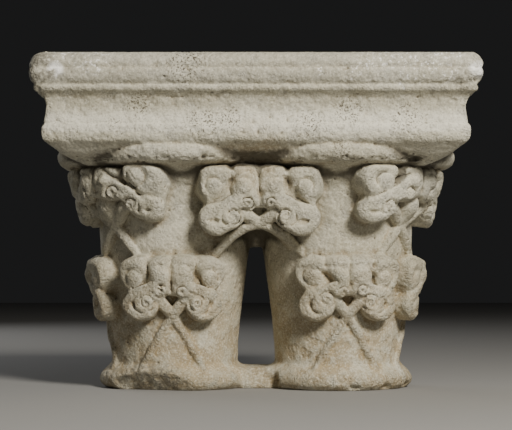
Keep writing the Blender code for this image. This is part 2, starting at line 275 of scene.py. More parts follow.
def add_base(field):
    """The plain forms: the bells, the bridge, the web and the abacus, on a flat underside."""
    x = field.x[:, None, None]
    y = field.y[None, :, None]
    z = field.z[None, None, :]
    add_bells(field, x, y, z)
    reach = (BRIDGE_HALF_WIDTH + 4.0, BRIDGE_HALF_DEPTH + 40.0)
    field.add((-reach[0], -reach[1], -9.0), (reach[0], reach[1], BRIDGE_TOP + 20.0), bridge, 5.0)
    field.add(WEB_LOW, WEB_HIGH, web, 3.5)
    add_abacus(field, x, y, z)
    field.d[...] = np.maximum(field.d, -z)


# The halves of the leaves: s outwards from the midrib, t down from the top. outline: the edge of the front.
# notch, crack: the ends of the crack between the upper lobes. ball: the end of the inner one. boss, dish: the
# knob in the outer one and its hollow. cut: the drilled line below them. fold: the fold under it. volute: its
# end, with its rim, bowl and eye and the swirl that winds there. curl: the small scroll by the midrib.
CORNER_HALF = {
    "outline": [
        (-3, 0), (13, -1), (24, 0), (30.8, 3), (37, 0), (52, 0), (62, 3), (67, 10), (67, 20), (62, 29),
        (63, 35), (69, 41), (71, 48), (66, 54), (56, 58), (45, 57), (37, 53), (31, 49), (28, 43), (24, 37),
        (17, 36.5), (11, 35), (6, 32), (-3, 33),
    ],
    "notch": (30.8, 2), "crack": (24, 9), "boss": (43.5, 19), "boss_radius": 8.8, "dish": (50, 15),
    "ball": (13, 17.5), "ball_radius": 8,
    "cut": [(20, 10.5), (32.5, 16.5), (38, 25), (46, 30), (56.5, 37.5), (66, 43)],
    "cut_widths": [1.2, 2.8, 2.4, 2, 1.1, 0.9], "fold": [(22, 25), (41, 35.5), (57, 44)], "fold_radius": 9,
    "curl": (17, 30), "curl_radius": 5.8, "eye": (36.7, 43.5), "eye_radius": 6.6,
    "rim": [(69, 46), (63, 54), (52, 56), (40, 52.5)], "volute": (50, 47), "volute_radii": (24, 14),
    "bowl": (55, 47), "bowl_radii": (7.5, 3.4), "swirl": [(47, 42), (46, 47), (42, 51), (36, 52), (30, 49)],
}
MIDDLE_HALF = {
    "outline": [
        (-4, 0), (12, -0.5), (22, 0), (27, 3.5), (31, 0), (44, 0), (52, 3), (56, 11), (56, 25), (52, 34),
        (52.5, 39), (56.5, 47), (56, 57), (49, 65), (38, 67.5), (29, 64), (20, 58.5), (15.5, 53), (17, 47),
        (16, 42.5), (8, 42.5), (4, 40), (-4, 41),
    ],
    "notch": (27, 3), "crack": (23, 8), "boss": (42.5, 21.3), "boss_radius": 8, "dish": (43, 21),
    "ball": (14, 22), "ball_radius": 8.6,
    "cut": [(22, 12), (27.5, 19), (31, 27), (38, 32.5), (46, 37), (55, 41)],
    "cut_widths": [2, 4.6, 4, 2.6, 1.3, 1], "cut_share": 0.5, "fold": [(17, 33), (32, 43), (45, 51)],
    "fold_radius": 9.5, "curl": (11, 37.2), "curl_radius": 4.8, "eye": (24.4, 50.3), "eye_radius": 6.2,
    "rim": [(55, 49), (54, 58), (46, 64), (34, 64.5), (26, 60)], "volute": (37, 53),
    "volute_radii": (23, 17), "bowl": (41, 54.5), "bowl_radii": (7.5, 4.2),
    "swirl": [(34, 46), (35, 52), (32, 57), (26, 58.5), (20, 56)],
}
LOWER_HALF = {
    "outline": [
        (-3, 0), (12, -0.5), (22, 0), (24, 1.2), (27, 0), (39, 0), (47, 3.5), (51.5, 11), (51.5, 20),
        (47.5, 29), (45, 34.5), (49, 40), (51.5, 47), (48, 55), (40, 60.5), (31, 62), (22, 59), (16, 53.5),
        (14.5, 47), (17, 42), (13.5, 39), (8, 39), (3.5, 37), (-3, 38),
    ],
    "notch": (24, 1), "crack": (23, 10), "boss": (37, 21.5), "boss_radius": 8.6, "dish": (38, 20),
    "ball": (10.5, 18.5), "ball_radius": 9.5,
    "cut": [(22.5, 10), (23.5, 17), (28, 25), (34, 31), (41, 33), (47, 32)],
    "cut_widths": [1, 3, 4, 3, 1.2, 0.8], "fold": [(14, 28), (28, 32.5), (42, 38.5)], "fold_radius": 5.2,
    "curl": (10, 33.7), "curl_radius": 4.8, "eye": (24.3, 44.5), "eye_radius": 7,
    "rim": [(47.5, 42), (48.5, 50), (42, 57), (31, 59), (22, 55.5)], "volute": (33, 47.5),
    "volute_radii": (21, 17), "bowl": (38, 46), "bowl_radii": (3.6, 4.4),
    "swirl": [(33, 38), (37.5, 44), (35.5, 51), (28, 54.5), (19, 52.5)],
}
# The left corner leaf's near half and the lower right leaf's halves were carved a little differently
LEFT_CORNER_HALF = {
    **CORNER_HALF,
    "outline": [
        (-3, 1), (11, 2), (24, 4), (33, 3.5), (40, 1), (54, 0), (63, 2.5), (69, 9), (71.5, 18), (70, 25),
        (71, 34), (71.5, 45), (69, 53.5), (59, 56.5), (46, 54), (36, 50), (30, 45), (29, 40), (25, 35),
        (19, 35), (11, 35), (6, 33), (-3, 34),
    ],
    "notch": (33, 3.5), "crack": (33, 9), "boss": (47.5, 14.5), "boss_radius": 9, "dish": (47, 17),
    "ball": (14, 18), "ball_radius": 6,
    "cut": [(12, 5), (23, 14), (34, 19.5), (42, 23), (48, 30), (53, 36)],
    "cut_widths": [1.3, 1.9, 2.4, 2.5, 1.9, 1], "fold": [(19, 23), (33, 31), (46, 42)], "fold_radius": 9,
    "curl": (22, 29), "eye": (38.3, 41.3), "volute": (51, 45.5), "volute_radii": (23, 14), "bowl": (55, 46),
    "bowl_radii": (5, 2.8), "rim": [(58, 37), (66, 43), (66, 51), (56, 54), (43, 51)], "cut_share": 0.6,
    "swirl": [(47, 39), (47, 44), (43, 49), (37, 50), (31, 47)],
}
LOWER_RIGHT_INNER_HALF = {
    **LOWER_HALF,
    "boss": (35, 19.5), "ball": (9.5, 19.5), "cut": [(30, 11), (24, 17.5), (18, 22), (12, 24.5)],
    "cut_widths": [1.4, 3, 3.2, 1.6], "curl": (6, 34), "eye": (22, 41),
}
LOWER_RIGHT_OUTER_HALF = {
    **LOWER_HALF,
    "boss": (34, 21.5), "cut": [(20, 13), (24, 19.5), (27, 26), (33, 31.5), (40, 34)],
    "cut_widths": [1.2, 3.2, 3.2, 2, 1], "curl": (12.5, 32), "eye": (21.5, 43.4),
}
# Heights of the parts of the front, as shares of the leaf's projection
FRONT = 0.75
RIM_HEIGHT = 0.92
DISH_FLOOR = 0.70
BOSS_HEIGHT = 0.97
PILLOW_HEIGHT = 0.95
BALL_HEIGHT = 1.05
BROW_HEIGHT = 0.91
FOLD_HEIGHT = 0.93
VOLUTE_HEIGHT = 0.94
CUT_FLOOR = 0.34
CURL_HEIGHT = 0.93
EYE_HEIGHT = 0.97
BOWL_FLOOR = 0.80
VOLUTE_RIM_HEIGHT = 0.93
# Turns of the oval hollows and of the spirals' beginning, in radians
DISH_TILT = -0.56
BOWL_TILT = -0.15
SPIRAL_START = 2.4
# How much the sides' slope lessens, as a share, and between which distances from the top
UNDERCUT = 1.25
UNDERCUT_SPAN = (24.0, 46.0)
# How much lower the left and the right side of a corner leaf's front stand, on each bell, and over which
# distances from the midrib and from the top this sets in
LEFT_LEAN = (13.0, 16.0)
RIGHT_LEAN = (8.0, 13.0)
LEAN_SPAN = (4.0, 34.0)
LEAN_FROM, LEAN_RUN = 12.0, 46.0
# How a leaf's parts run into one another and into the stone
FRONT_BLEND = 2.2
STEM_BLEND = 1.2
LEAF_BLEND = 1.2
LEAF_BACK = -16.0


def smooth_line(points, parts=6):
    """A smooth line through the points."""
    p = np.array(points, float)
    p = np.vstack([2 * p[0] - p[1], p, 2 * p[-1] - p[-2]])
    share = np.linspace(0, 1, parts, endpoint=False)[:, None]
    runs = []
    for i in range(1, len(p) - 2):
        bend = 2 * p[i - 1] - 5 * p[i] + 4 * p[i + 1] - p[i + 2]
        turn = -p[i - 1] + 3 * p[i] - 3 * p[i + 1] + p[i + 2]
        runs.append(p[i] + 0.5 * share * (p[i + 1] - p[i - 1] + share * (bend + share * turn)))
    return np.vstack(runs + [p[-2:-1]])


class Relief:
    """The front of one half of a leaf as a map of heights over s and t."""

    STEP = 0.5
    PAD = 8.0
    WANDER = 0.8
    STEEPEST = 2.5
    CLIFF = 40.0

    def __init__(self, design, projection, seed, worn):
        line = smooth_line(design["outline"])
        wide = line[:, 0].max() + self.PAD
        tall = line[:, 1].max() + self.PAD
        s = np.arange(-self.PAD, wide, self.STEP)
        t = np.arange(-self.PAD, tall, self.STEP)
        self.s, self.t = np.meshgrid(s, t, indexing="ij")
        noise = Noise(seed)
        flat = np.zeros_like(self.s)
        self.rough = noise.at(self.s, self.t, flat, 7.0) + 0.6 * noise.at(self.s, self.t, flat + 30, 3.2)
        self.s = self.s + self.WANDER * noise.at(self.s, self.t, flat + 60, 15.0)
        self.t = self.t + self.WANDER * noise.at(self.s, self.t, flat + 90, 15.0)
        self.edge = self.polygon(line)
        self.p = projection
        self.h = np.full_like(self.s, FRONT * projection)
        self.carve(design)
        self.h = self.h + 0.25 * self.rough
        for _ in range(int(12 * worn)):
            self.h = soften(self.h)
        steep = np.hypot(*np.gradient(self.h, self.STEP))
        self.share = 1 / np.sqrt(1 + np.minimum(steep, self.STEEPEST) ** 2)

    def polygon(self, line):
        """Distance from a closed outline, negative inside."""
        gap = np.full_like(self.s, 1e9)
        inside = np.zeros(self.s.shape, bool)
        for a, b in zip(line, np.roll(line, -1, axis=0)):
            gap = np.minimum(gap, flat_distance(self.s, self.t, a, b))
            if a[1] != b[1]:
                crosses = (self.t >= min(a[1], b[1])) & (self.t < max(a[1], b[1]))
                inside ^= crosses & (self.s < a[0] + (self.t - a[1]) * (b[0] - a[0]) / (b[1] - a[1]))
        return np.where(inside, -gap, gap)

    def path(self, points, values):
        """Distance from a smooth line, and a value that changes along it."""
        line = smooth_line(points)
        along = np.linspace(0, 1, len(line))
        size = np.interp(along, np.linspace(0, 1, len(values)), values)
        best = np.full_like(self.s, 1e9)
        value = np.zeros_like(self.s)
        for i in range(len(line) - 1):
            gap = flat_distance(self.s, self.t, line[i], line[i + 1])
            near = gap < best
            best = np.where(near, gap, best)
            value = np.where(near, size[i], value)
        return best, value

    def away(self, centre):
        """Distance from a point."""
        return np.hypot(self.s - centre[0], self.t - centre[1])

    def dome(self, gap, radius, top, fall=1.0, blend=1.0):
        """Raises a round form whose section is part of a circle."""
        share = np.clip(gap / radius, 0, 1)
        form = top - fall * radius * (1 - np.sqrt(1 - share**2)) - self.CLIFF * (gap >= radius)
        self.h = smooth_max(self.h, form, blend)

    def bowl(self, centre, radii, floor, tilt=0.0, blend=1.5):
        """Sinks an oval hollow with a round floor."""
        ds, dt = self.s - centre[0], self.t - centre[1]
        cos, sin = math.cos(tilt), math.sin(tilt)
        far = np.hypot((ds * cos + dt * sin) / radii[0], (dt * cos - ds * sin) / radii[1])
        form = floor + (self.p - floor) * far**2.5
        self.h = smooth_min(self.h, form, blend)

    def groove(self, gap, width, depth):
        """Sinks a groove along a line."""
        self.h = self.h - depth * np.exp(-((gap / width) ** 2))

    def spiral(self, centre, start, growth, turns, width, depth, phase):
        """Sinks a spiral groove with a drilled eye."""
        ds, dt = self.s - centre[0], self.t - centre[1]
        away = np.hypot(ds, dt) + 1e-3
        angle = (np.arctan2(dt, -ds) + phase) % (2 * math.pi)
        arm = (np.log(away / start) / growth - angle) / (2 * math.pi)
        number = np.clip(np.round(arm), 0, max(0, math.ceil(turns) - 1))
        gap = (arm - number) * 2 * math.pi * growth * away
        reach = 1 - step_between(turns - 0.12, turns, number + angle / (2 * math.pi))
        self.groove(gap, width, depth * reach)
        self.groove(away, 1.15, 1.3 * depth)

    def carve(self, design):
        """Draws the half leaf."""
        self.carve_inner_lobe(design)
        self.carve_outer_lobe(design)
        self.carve_volute(design)
        self.carve_scrolls(design)
        # the top and the sides are rounded off, and a crease marks the midrib
        crown = 1 - step_between(-1.0, 8.0, self.t)
        sides = 1 - step_between(0.0, 3.5, -self.edge)
        self.h = self.h - 0.34 * self.p * crown**1.6 - 0.10 * self.p * sides
        ending = 1 - step_between(design["curl"][1], design["curl"][1] + 6, self.t)
        self.groove(self.s, 0.8, 1.7 * ending)
        self.groove(self.s, 3.0, 1.0)

    def carve_inner_lobe(self, design):
        """The inner lobe: a soft pillow that ends in a ball, over a smaller fold."""
        p = self.p
        ball = design["ball"]
        across = (self.s - ball[0]) / (design["notch"][0] * 0.50)
        down = self.t - ball[1]
        along = np.where(down > 0, down / 11.0, -down / (ball[1] + 9.0))
        swell = np.clip(1 - across**2 - along**2, 0, 1) ** 0.6
        self.h = self.h + (PILLOW_HEIGHT - FRONT) * p * swell
        gap, radius = self.away(ball), design["ball_radius"]
        self.groove(gap - radius - 0.3, 1.3, 0.06 * p * step_between(0.5, -0.6, down / radius))
        self.dome(gap, radius, BALL_HEIGHT * p, (BALL_HEIGHT - FRONT + 0.04) * p / radius, 0.8)
        brow = [(ball[i] + 2 * design["curl"][i]) / 3 for i in (0, 1)]
        self.dome(self.away(brow), 2.0 * design["curl_radius"], BROW_HEIGHT * p, 0.25, 1.0)

    def carve_outer_lobe(self, design):
        """The outer lobe: a rim round a dish with a boss, with a crack and a drilled cut beside it."""
        p = self.p
        outer = step_between(design["notch"][0] - 1, design["notch"][0] + 5, self.s)
        self.h = self.h + (RIM_HEIGHT - FRONT) * p * outer * (1 - step_between(26, 36, self.t))
        middle = [(design["dish"][i] + design["boss"][i]) / 2 for i in (0, 1)]
        reach = design["boss_radius"] + 4.0
        self.bowl(middle, (reach + 1.5, reach - 1.5), DISH_FLOOR * p, DISH_TILT, 2.0)
        gap, width = self.path(design["cut"], design["cut_widths"])
        depth = (FRONT - CUT_FLOOR) * p * np.clip(width / 3.0, 0.22, 1.1)
        self.groove(gap, width * 1.1, depth * design.get("cut_share", 0.8))
        crack, _ = self.path([design["notch"], design["crack"]], [1, 1])
        self.groove(crack, 1.0, 0.08 * p)
        self.dome(self.away(design["boss"]), design["boss_radius"], BOSS_HEIGHT * p, 0.6, 0.6)

    def carve_volute(self, design):
        """The fold, and the oval at its end with a bowl, a swirl and a crumbling lower rim."""
        p = self.p
        gap, radius = self.path(design["fold"], [design["fold_radius"] * 0.8, design["fold_radius"]])
        self.dome(gap, radius, FOLD_HEIGHT * p, 0.22, 1.5)
        centre, radii = design["volute"], design["volute_radii"]
        far = np.hypot((self.s - centre[0]) / radii[0], (self.t - centre[1]) / radii[1])
        oval = VOLUTE_HEIGHT * p - 0.13 * p * far**3 - self.CLIFF * (far >= 1)
        self.h = smooth_max(self.h, oval, 1.5)
        self.bowl(design["bowl"], design["bowl_radii"], BOWL_FLOOR * p, BOWL_TILT, 1.5)
        gap, width = self.path(design["swirl"], [0.8, 1.4, 1.6, 1.3, 0.8])
        self.groove(gap, width, 0.13 * p * np.clip(width / 1.5, 0.2, 1))
        gap, radius = self.path(design["rim"], [3.2, 3.8, 3.4])
        self.dome(gap, radius, VOLUTE_RIM_HEIGHT * p, 0.5, 1.5)
        crumbly = np.exp(-((gap / 4.5) ** 2))
        self.h = self.h - 1.2 * crumbly * np.maximum(self.rough - 0.1, 0)

    def carve_scrolls(self, design):
        """The volute's eye and the curl, each a dome with a spiral in it and a crease round it."""
        for name, height, turns in (("eye", EYE_HEIGHT, 1.6), ("curl", CURL_HEIGHT, 1.0)):
            centre, radius = design[name], design[name + "_radius"]
            gap = self.away(centre)
            inward = (centre[0] - self.s + 0.9 * (centre[1] - self.t)) / radius
            self.groove(gap - radius - 0.5, 1.0, 0.16 * self.p * step_between(-1.3, 0.2, inward))
            self.dome(gap, radius, height * self.p, 0.25, 0.5)
            self.spiral(centre, radius * 0.30, 0.135, turns, 0.95, 2.7, SPIRAL_START)

    def look_up(self, s, t):
        """Height, its slope share and the distance from the outline at points of the leaf."""
        row, column = (s + self.PAD) / self.STEP, (t + self.PAD) / self.STEP
        i = np.clip(row, 0, self.s.shape[0] - 1.001)
        j = np.clip(column, 0, self.s.shape[1] - 1.001)
        beyond = np.abs(row - i) * self.STEP + np.abs(column - j) * self.STEP
        i0, j0 = i.astype(np.int32), j.astype(np.int32)
        i1, j1 = (i - i0).astype(np.float32), (j - j0).astype(np.float32)
        values = []
        for table in (self.h, self.share, self.edge):
            table = table.astype(np.float32)
            low = table[i0, j0] * (1 - j1) + table[i0, j0 + 1] * j1
            high = table[i0 + 1, j0] * (1 - j1) + table[i0 + 1, j0 + 1] * j1
            values.append(low * (1 - i1) + high * i1)
        values[2] = values[2] + beyond
        return values


def soften(table):
    """The table with each value the mean of its neighbourhood."""
    padded = np.pad(table, 1, mode="edge")
    rows = (padded[:-2] + padded[1:-1] + padded[2:]) / 3
    return (rows[:, :-2] + rows[:, 1:-1] + rows[:, 2:]) / 3


class Leaf:
    """One leaf: its seat on the stone, its two halves and its stems.

    kind holds the top, the projection, the slope of the sides and the stems. worn says how soft the carving is,
    shift how far it stands off the seat's middle, and lean how much lower its left and right sides stand.
    """

    def __init__(self, seat, kind, designs, worn, seed, shift=0.0, lean=(0.0, 0.0)):
        self.seat = seat
        self.top, projection, self.draft, self.stems = kind
        self.shift = shift
        self.lean = lean
        self.halves = [Relief(designs[i], projection, seed + 7 * i, worn) for i in (0, 1)]
        self.noise = Noise(seed)

    def field(self, u, v, w):
        """Field of the leaf at points given in its frame, v being the height."""
        u = u - self.shift
        t = self.top - v
        left = self.halves[0].look_up(-u, t)
        right = self.halves[1].look_up(u, t)
        share = step_between(-1.2, 1.2, u)
        height, slope, edge = [a * (1 - share) + b * share for a, b in zip(left, right)]
        w = w + 0.7 * self.noise.at(u, t, w, 24.0)
        lean = np.where(u < 0, *self.lean) * step_between(*LEAN_SPAN, np.abs(u))
        height = height - lean * np.clip((t - LEAN_FROM) / LEAN_RUN, 0, 1)
        front = (w - height) * slope
        draft = self.draft * (1 - UNDERCUT * step_between(*UNDERCUT_SPAN, t))
        side = (edge + draft * (np.maximum(w, 0.0) - 0.9 * height)) * 0.95
        leaf = smooth_max(smooth_max(front, side, FRONT_BLEND), LEAF_BACK - w, 1.0)
        for start, end, radii in self.stems:
            for way in (-1, 1):
                low = (way * start[0], start[1], start[2])
                high = (way * end[0], end[1], end[2])
                leaf = smooth_min(leaf, capsule((u, t, w), low, high, *radii), STEM_BLEND)
        return leaf


def bell_seat(side, angle, reference, wall=None):
    """Turns x, y and z into a leaf's frame on a bell.

    The seat is the bell's wall, or a cylinder of radius wall. Sideways is measured at the reference radius.
    """

    def convert(x, y, z):
        away = np.hypot(x - side * AXIS_X, y)
        turn = np.arctan2(x - side * AXIS_X, -y) - side * math.radians(angle)
        turn = (turn + math.pi) % (2 * math.pi) - math.pi
        radius = bell_radius(z) if wall is None else wall
        return turn * reference, z, away - radius

    return convert


def middle_seat(facing, depth):
    """Turns x, y and z into the frame of the wide leaf between the bells."""

    def convert(x, y, z):
        return facing * x, z, -facing * y - depth

    return convert


# Stems as (start, end, radii): sideways, down from the leaf's top and out from its seat
LOWER_STEMS = [
    ((0, 56, 0), (38, 105, -0.2), (4.6, 3.9)),
    ((0, 56.5, 1), (15.5, 40, 6), (5.2, 6.4)),
]
UPPER_STEMS = [
    ((0, 58, -6.5), (36, 90, -8.4), (5.4, 4.2)),
    ((0, 58, -8), (24, 42, 3), (6.6, 6.5)),
    ((0, 56, -12), (0, 38, -3), (9, 17)),
]
MIDDLE_STEMS = [
    ((0, 56, 5.5), (13, 59.5, 4.5), (3.6, 3.8)),
    ((13, 59.5, 4.5), (26, 68, -2), (3.8, 4)),
    ((26, 68, -2), (45, 86.5, -17), (4, 3.9)),
    ((0, 55.5, 5), (16, 45.5, 10.5), (4.6, 6.8)),
]
# The kinds of leaf: the top, how far it stands out, how its sides slope, and its stems
MIDDLE = (214.5, 26.0, 0.3, MIDDLE_STEMS)
UPPER = (217.0, 27.0, 0.45, UPPER_STEMS)
LOWER = (128.0, 19.0, 0.2, LOWER_STEMS)
# The seats: the middle leaf's distance from the mid plane and its shift to the right, and radii on the bells
MIDDLE_SEAT_DEPTH = 76.0
MIDDLE_SHIFT = 3.0
UPPER_SEAT, UPPER_REFERENCE = 82.0, 98.0
LOWER_REFERENCE = 82.0
# The boxes the leaves fit in: from and to which radius, half the width, and the lowest height
UPPER_BOX = (30.0, 118.0, 90.0, 112.0)
LOWER_BOX = (40.0, 96.0, 66.0, 12.0)
BOX_OVER_TOP = 7.0


def bell_leaf(side, angle, designs, seed, worn=0.0):
    """A leaf on a bell, with the corners of the box it fits in. The first design is its left half."""
    turn = math.radians(angle)
    out = (side * math.sin(turn), -math.cos(turn))
    across = (abs(out[1]), abs(out[0]))
    if designs[0] is CORNER_HALF:
        seat = bell_seat(side, angle, UPPER_REFERENCE, UPPER_SEAT)
        lean = LEFT_LEAN if side < 0 else RIGHT_LEAN
        leaf = Leaf(seat, UPPER, designs, worn, seed, lean=lean)
        inner, outer, spread, bottom = UPPER_BOX
    else:
        seat = bell_seat(side, angle, LOWER_REFERENCE)
        leaf = Leaf(seat, LOWER, designs, worn, seed)
        inner, outer, spread, bottom = LOWER_BOX
    low, high = [], []
    for axis, centre in enumerate((side * AXIS_X, 0.0)):
        ends = sorted((centre + out[axis] * inner, centre + out[axis] * outer))
        low.append(ends[0] - spread * across[axis])
        high.append(ends[1] + spread * across[axis])
    return leaf, (*low, bottom), (*high, leaf.top + BOX_OVER_TOP)


def make_leaves():
    """All twelve leaves, each as (leaf, low corner, high corner) of the box it fits in."""
    leaves = []
    lower = (LOWER_HALF, LOWER_HALF)
    upper = (CORNER_HALF, CORNER_HALF)
    leaves.append(bell_leaf(-1, 0.0, lower, 19))
    leaves.append(bell_leaf(1, 6.0, (LOWER_RIGHT_INNER_HALF, LOWER_RIGHT_OUTER_HALF), 21))
    leaves.append(bell_leaf(-1, 46.0, (CORNER_HALF, LEFT_CORNER_HALF), 49))
    leaves.append(bell_leaf(1, 50.0, upper, 51))
    for side in (-1, 1):
        leaves.append(bell_leaf(side, 90.0, lower, 30 + side, 0.9 if side < 0 else 0.5))
        leaves.append(bell_leaf(side, 180.0, lower, 40 + side, 0.6))
        leaves.append(bell_leaf(side, 134.0, upper, 60 + side, 0.6))
    for facing in (1, -1):
        worn = 0.0 if facing > 0 else 0.6
        seat = middle_seat(facing, MIDDLE_SEAT_DEPTH)
        shift = MIDDLE_SHIFT if facing > 0 else 0.0
        leaf = Leaf(seat, MIDDLE, (MIDDLE_HALF, MIDDLE_HALF), worn, 70 + facing, shift)
        near, far = sorted((-facing * 52.0, -facing * 112.0))
        leaves.append((leaf, (-80.0, near, 112.0), (80.0, far, 222.0)))
    return leaves


def add_leaves(field):
    """Carves every leaf."""
    for leaf, low, high in make_leaves():

        def shape(x, y, z, leaf=leaf):
            places = np.broadcast_arrays(*leaf.seat(x, y, z))
            return leaf.field(*[place.astype(np.float32) for place in places]).astype(np.float32)

        field.add(low, high, shape, LEAF_BLEND)


# Chips off the edges: centre and radius
CHIPS = [
    (-206, -129, 281, 5), (-171, -131, 316, 4), (-96, -132, 283, 3.2), (-22, -131, 316, 3),
    (61, -131, 284, 3.4), (128, -132, 316, 4.2), (178, -131, 285, 3.6), (207, -128, 290, 4.5),
    (207, -60, 316, 5), (-207, 22, 316, 5.5), (-60, 131, 316, 5), (95, 131, 285, 4), (-120, -119, 221, 3),
    (-46, -113, 219, 3.4), (52, -114, 219, 3), (117, -112, 218, 3.2), (150, -92, 220, 3.6), (95, -73, 3, 4),
    (128, -56, 2, 4.5), (148, -27, 4, 4), (-146, 30, 3, 5), (-90, 74, 2, 4), (70, 74, 4, 4.5),
    (-197, -95, 244, 4), (198, 40, 243, 4.2), (-196, 70, 243, 3.6), (58, -75, 2, 3.2),
]


def cut_losses(field, noise):
    """The broken ring at the front left, the worn corners of the abacus and chips along its edges."""

    def ring_break(x, y, z):
        turn = math.radians(20.0)
        deep = (x + AXIS_X) * -math.sin(turn) - y * math.cos(turn)
        rough = 1.3 * noise.at(x, y, z, 9.0) + 0.8 * noise.at(x + 50, y, z, 4.0)
        return (55.0 + 0.72 * z - deep) * 0.81 + 0.7 * rough

    field.cut((-150, -90, -6), (-40, -45, 24), ring_break, 0.6)

    def bridge_break(x, y, z):
        rough = 0.9 * noise.at(x, y, z, 5.0)
        return ellipsoid((x, y, z), (17.0, -39.0, 3.0), (8.0, 9.5, 15.0)) + rough

    field.cut((4, -55, -6), (34, -22, 24), bridge_break, 0.5)
    for side, loss in ((-1, 11.0), (1, 8.0)):

        def corner(x, y, z, side=side, loss=loss):
            reach = (side * x - HALF_WIDTH) - (y + HALF_DEPTH) + (z - ABACUS_TOP)
            rough = 1.6 * noise.at(x, y, z, 12.0) + 0.8 * noise.at(x + 50, y, z, 4.5)
            return -(reach / math.sqrt(3) + loss) + rough

        x0, x1 = sorted((side * (HALF_WIDTH - 45.0), side * (HALF_WIDTH + 3.0)))
        low = (x0, -HALF_DEPTH - 3.0, ABACUS_TOP - 40.0)
        high = (x1, -HALF_DEPTH + 45.0, ABACUS_TOP + 3.0)
        field.cut(low, high, corner, 3.0)
    for x0, y0, z0, radius in CHIPS:

        def chip(x, y, z, place=(x0, y0, z0), radius=radius):
            rough = 0.8 * noise.at(x, y, z, 4.0) + 1.2 * noise.at(x, y + 40, z, 8.0)
            return ellipsoid((x, y, z), place, (1.9 * radius, 1.9 * radius, radius)) + rough

        reach = 2.2 * radius
        field.cut([c - reach for c in (x0, y0, z0)], [c + reach for c in (x0, y0, z0)], chip, 1.0)


def bend_at(d, cells, step):
    """How convex the surface is near grid points: above 0 on edges, below 0 in hollows."""
    total = 0.0
    for axis in range(3):
        for way in (-step, step):
            place = [cells[:, n] for n in range(3)]
            place[axis] = np.clip(place[axis] + way, 0, d.shape[axis] - 1)
            total = total + d[tuple(place)]
    return total / 6 - d[tuple(cells.T)]


def weather(field, noise):
    """Wears the edges, roughens the surface and sprinkles it with pits."""
    d = field.d
    cells = np.argwhere(np.abs(d) < WEAR_REACH)
    x, y, z = field.x[cells[:, 0]], field.y[cells[:, 1]], field.z[cells[:, 2]]
    bend = bend_at(d, cells, max(1, round(2.0 / GRID_STEP)))
    broad = noise.at(x, y, z, 26.0)
    coarse = noise.at(x, y + 31, z, 10.0)
    mid = noise.at(x + 17, y, z, 4.6)
    fine = noise.at(x, y, z + 53, 2.4)
    change = 0.35 * broad + 0.20 * coarse + 0.20 * mid + 0.22 * fine - WEAR_ALLOWANCE
    change = change + np.clip(bend, 0, 1.0) * (0.7 + 0.6 * coarse + 0.7 * mid)
    # crumbling along the lower edges of the lips, of the roll and of the fascia
    crumbly = np.exp(-(((z - 219.0) / 2.6) ** 2)) + 0.9 * np.exp(-(((z - 241.5) / 2.6) ** 2))
    crumbly = crumbly + 0.4 * np.exp(-(((z - 284.0) / 2.0) ** 2))
    change = change + crumbly * np.clip(0.6 * mid + 0.9 * fine, 0, 1) * 1.5
    patchy = step_between(0.1, 0.7, coarse)
    change = change + patchy * step_between(0.30, 0.9, mid + 0.35 * fine) * 0.9
    flat_top = step_between(3.0, 0.5, ABACUS_TOP - z) * (bend < 0.3)
    change = change * (1 - 0.8 * np.clip(flat_top, 0, 1))
    d[tuple(cells.T)] += change.astype(np.float32)
    picks = np.random.default_rng(11)
    skin = cells[np.abs(d[tuple(cells.T)]) < 0.6]
    for cell in skin[picks.integers(0, len(skin), PIT_COUNT)]:
        radius = picks.uniform(*PIT_RADII)
        centre = (field.x[cell[0]], field.y[cell[1]], field.z[cell[2]])
        low = [c - 4.0 for c in centre]
        high = [c + 4.0 for c in centre]
        field.cut(low, high, lambda x, y, z: ellipsoid((x, y, z), centre, (radius,) * 3), 0.6)
    d[...] = np.maximum(d, -field.z[None, None, :])


def surface_net(field):
    """Vertices (millimetres) and quads of the field's zero surface, one vertex to each cell it crosses."""
    d = field.d
    inside = d < 0
    count = tuple(n - 1 for n in d.shape)
    some = np.zeros(count, bool)
    every = np.ones(count, bool)
    for i, j, k in itertools.product((0, 1), repeat=3):
        corner = inside[i:i + count[0], j:j + count[1], k:k + count[2]]
        some |= corner
        every &= corner
    cells = np.argwhere(some & ~every).astype(np.int32)
    del some, every
    total = np.zeros((len(cells), 3), np.float64)
    hits = np.zeros(len(cells), np.int32)
    i, j, k = cells.T
    for axis in range(3):
        others = [a for a in range(3) if a != axis]
        for first, second in itertools.product((0, 1), repeat=2):
            start = [i, j, k]
            start[others[0]] = start[others[0]] + first
            start[others[1]] = start[others[1]] + second
            end = list(start)
            end[axis] = end[axis] + 1
            a = d[tuple(start)]
            b = d[tuple(end)]
            crossed = (a < 0) != (b < 0)
            share = np.where(crossed, a / np.where(crossed, a - b, 1.0), 0.0)
            for c in range(3):
                total[:, c] += np.where(crossed, start[c] + (share if c == axis else 0.0), 0.0)
            hits += crossed
    points = total / hits[:, None]
    origin = np.array([field.x[0], field.y[0], field.z[0]], np.float64)
    vertices = origin + points * GRID_STEP
    number = np.full(count, -1, np.int32)
    number[i, j, k] = np.arange(len(cells), dtype=np.int32)
    quads = []
    for axis in range(3):
        b, c = [(1, 2), (2, 0), (0, 1)][axis]
        low = [slice(1, -1)] * 3
        low[axis] = slice(0, -1)
        high = list(low)
        high[axis] = slice(1, None)
        a_in, b_in = inside[tuple(low)], inside[tuple(high)]
        for enters in (False, True):
            found = np.argwhere((a_in != b_in) & (a_in == enters))
            found = found + np.array([0 if n == axis else 1 for n in range(3)])
            corners = []
            for back_b, back_c in ((1, 1), (0, 1), (0, 0), (1, 0)):
                cell = found.copy()
                cell[:, b] -= back_b
                cell[:, c] -= back_c
                corners.append(number[cell[:, 0], cell[:, 1], cell[:, 2]])
            quad = np.stack(corners, axis=1)
            quads.append(quad if enters else quad[:, ::-1])
    return vertices, np.concatenate(quads)


